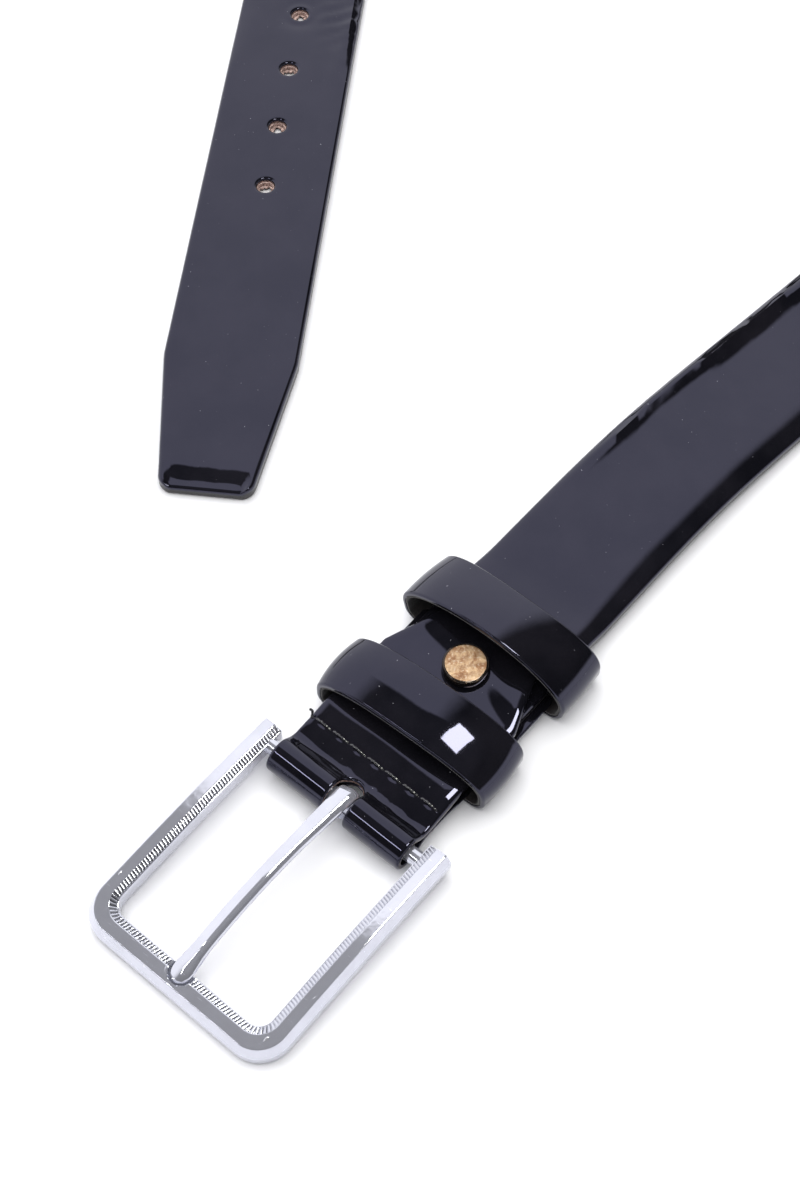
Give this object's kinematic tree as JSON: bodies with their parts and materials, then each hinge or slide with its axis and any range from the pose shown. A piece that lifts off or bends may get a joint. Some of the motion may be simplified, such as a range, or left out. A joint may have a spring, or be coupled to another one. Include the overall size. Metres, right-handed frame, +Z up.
{
  "type": "leather belt",
  "caption": "Patent leather dress belt: chrome frame buckle hinged on a bar in a folded billet, swinging prong, fixed and sliding keepers, stud rivet, punched tapered tip.",
  "frame": {"origin": "bottom centre of the bounding box of the whole belt as it is laid out", "axes": "+X runs along the straight strap away from the buckle, +Y along the buckle bar, +Z up from the surface the belt lies on"},
  "size_m": [0.5556, 0.2921, 0.035],
  "materials": {
    "patent_leather": "high gloss black patent coat",
    "strap_filler": "raw fibrous brown, black painted outer edge",
    "strap_backing": "satin black lining leather",
    "suede": "matt dark suede with pale flecks",
    "thread": "glossy twisted thread",
    "rivet_rim": "dark polished rim",
    "rivet_bronze": "mottled bronze",
    "steel": "plain satin",
    "chrome": "polished"
  },
  "bodies": {
    "strap": {"strap_face": "patent_leather", "strap_core": "strap_filler", "strap_lining": "strap_backing", "billet": "patent_leather", "billet_thread": "thread", "rivet_cap": "rivet_rim", "rivet_inlay": "rivet_bronze", "rivet_post": "steel", "rivet_base": "steel", "fixed_keeper_face": "patent_leather", "fixed_keeper_lining": "suede", "fixed_keeper_staple": "steel"},
    "buckle": {"buckle_frame": "chrome", "buckle_bar": "steel"},
    "prong": {"prong": "chrome"},
    "free_keeper": {"free_keeper_face": "patent_leather", "free_keeper_lining": "suede", "free_keeper_staple": "steel"}
  },
  "joints": [
    {"name": "buckle_hinge", "type": "hinge", "parent": "strap", "child": "buckle", "pos_m": [-0.21983, -0.11714, 0.00516], "axis": [0, 1, 0], "range_deg": [-90, 25]},
    {"name": "prong_hinge", "type": "hinge", "parent": "buckle", "child": "prong", "pos_m": [-0.21983, -0.11714, 0.00516], "axis": [0, 1, 0], "range_deg": [0, 75]},
    {"name": "free_keeper_slide", "type": "slide", "parent": "strap", "child": "free_keeper", "axis": [1, 0, 0], "range_m": [-0.012, 0.036]}
  ]
}
